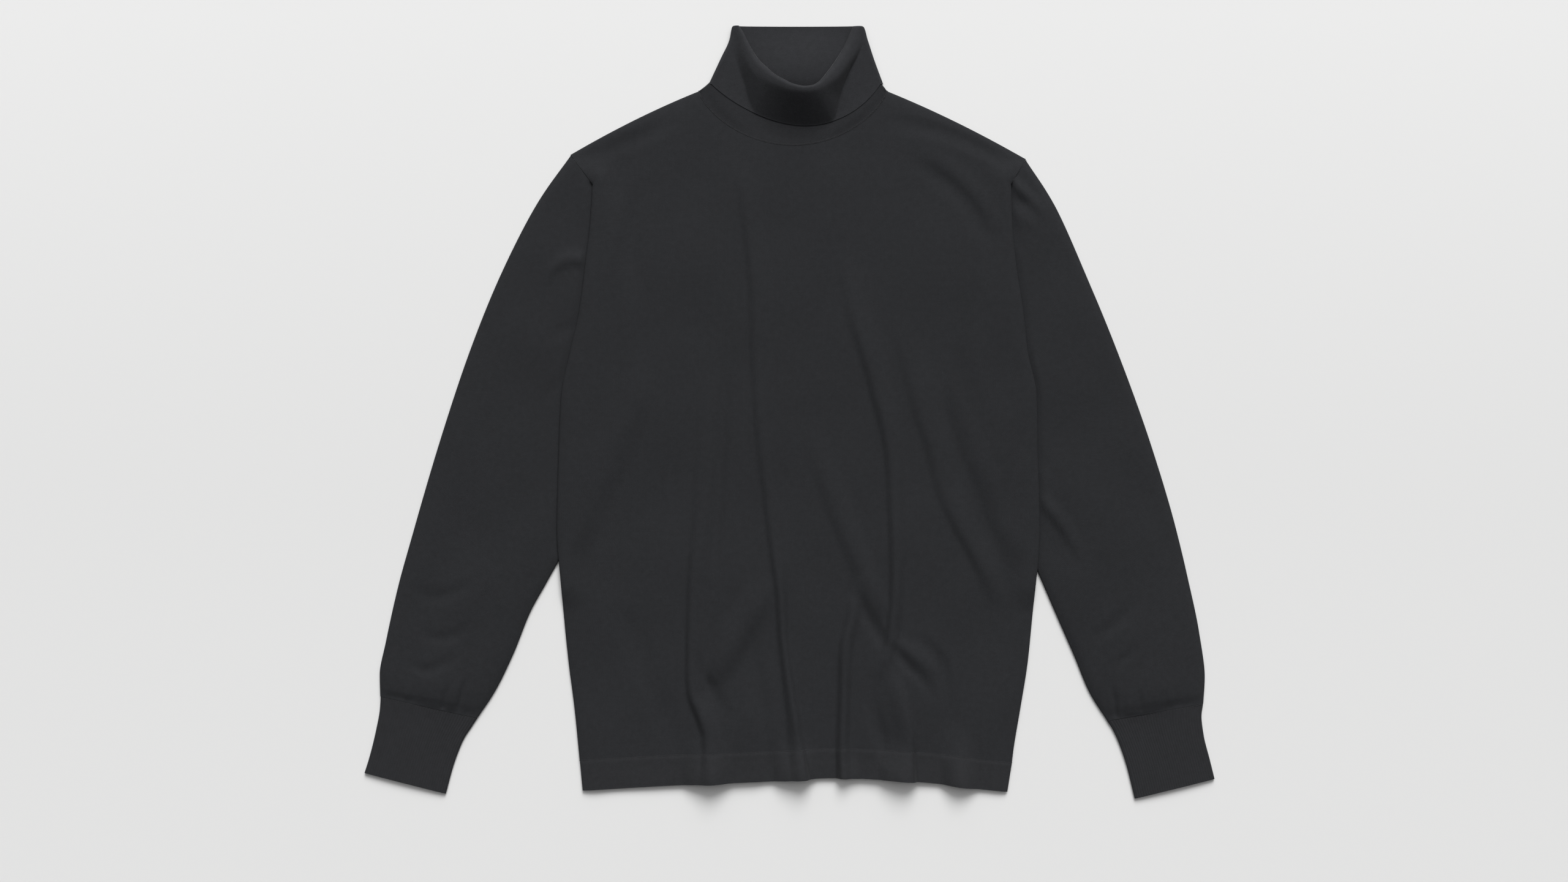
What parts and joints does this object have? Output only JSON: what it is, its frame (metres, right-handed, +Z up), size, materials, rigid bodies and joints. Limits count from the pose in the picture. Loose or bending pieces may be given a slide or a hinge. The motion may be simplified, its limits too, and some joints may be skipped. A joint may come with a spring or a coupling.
{
  "type": "turtleneck sweater",
  "caption": "Fine-gauge knitted turtleneck sweater with long sleeves, ribbed cuffs and a plain hem band, laid flat on its back with its collar turned down.",
  "frame": {"origin": "on the surface the sweater lies on, under the middle of its overall box", "axes": "+Z up, away from that surface; +Y from the hem towards the collar; +X to the viewer's right, looking down on the front"},
  "size_m": [0.8596, 0.7839, 0.0321],
  "materials": {
    "body_knit": "fine plain knit, charcoal black, matt with a faint nap",
    "collar_knit": "fine plain knit, charcoal black, rolled over and turned down",
    "cuff_rib": "fine rib knit, charcoal black",
    "hem_knit": "doubled fine knit band, charcoal black, slightly lighter than the body"
  },
  "bodies": {
    "root": {"front": "body_knit", "back": "body_knit", "sleeve_left": "body_knit", "sleeve_right": "body_knit", "cuff_left": "cuff_rib", "cuff_right": "cuff_rib", "collar": "collar_knit", "hem_band_front": "hem_knit", "hem_band_back": "hem_knit"}
  },
  "joints": []
}
